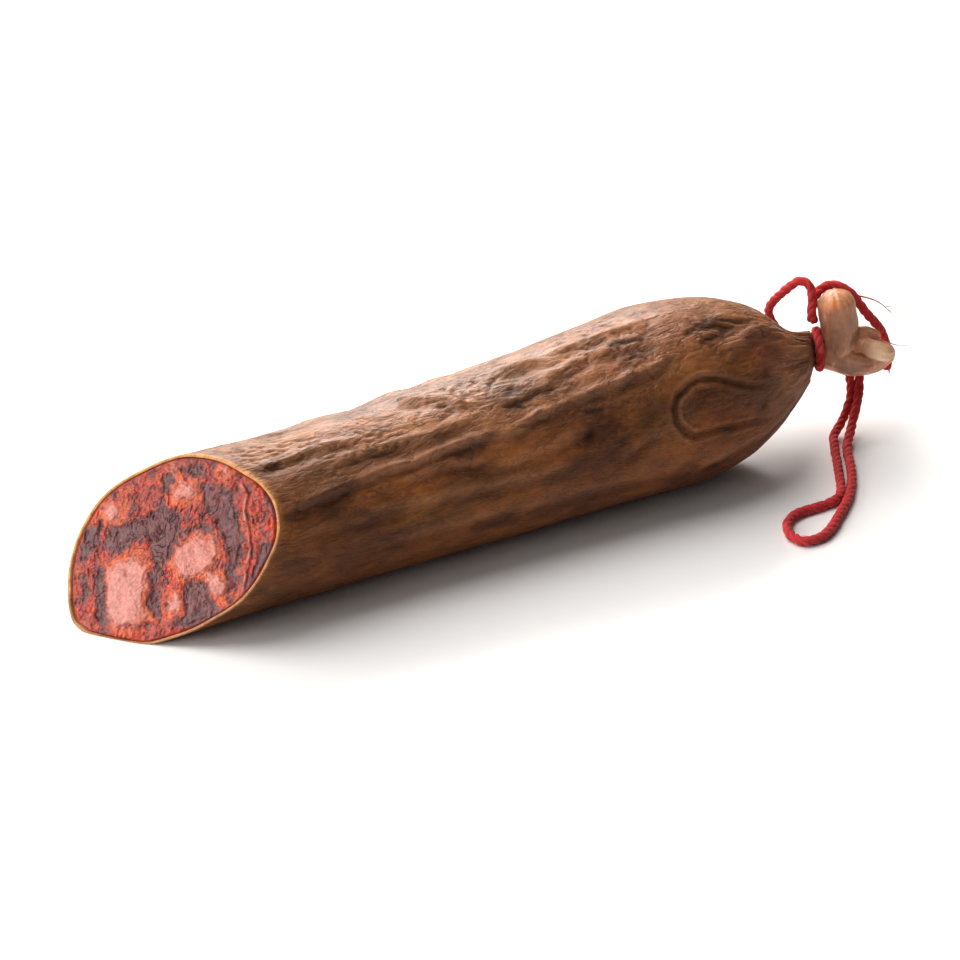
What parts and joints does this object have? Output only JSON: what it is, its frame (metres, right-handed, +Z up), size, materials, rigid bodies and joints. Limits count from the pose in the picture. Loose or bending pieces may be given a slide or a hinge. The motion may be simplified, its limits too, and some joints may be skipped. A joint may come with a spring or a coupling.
{
  "type": "cured sausage",
  "caption": "Tied half of a thick dry-cured sausage in natural gut, cut on the slant, with a folded gut tail and a soft twisted string loop.",
  "frame": {"origin": "on the surface the sausage rests on, under the middle of the sausage and its tail", "axes": "+X along the sausage towards its tied end, +Y towards the side away from the cut face, +Z up from the surface it rests on"},
  "size_m": [0.2919, 0.0971, 0.0587],
  "materials": {
    "meat": "moist cut cured meat: paprika-red mince with pale fat and dark lean",
    "gut": "dried natural gut, brown, wrinkled, satin",
    "string": "soft twisted crimson cotton string"
  },
  "bodies": {
    "root": {"meat_filling": "meat", "casing": "gut", "neck_tie": "string", "tail_tie": "string", "tie_end": "string", "hanging_loop": "string"}
  },
  "joints": []
}
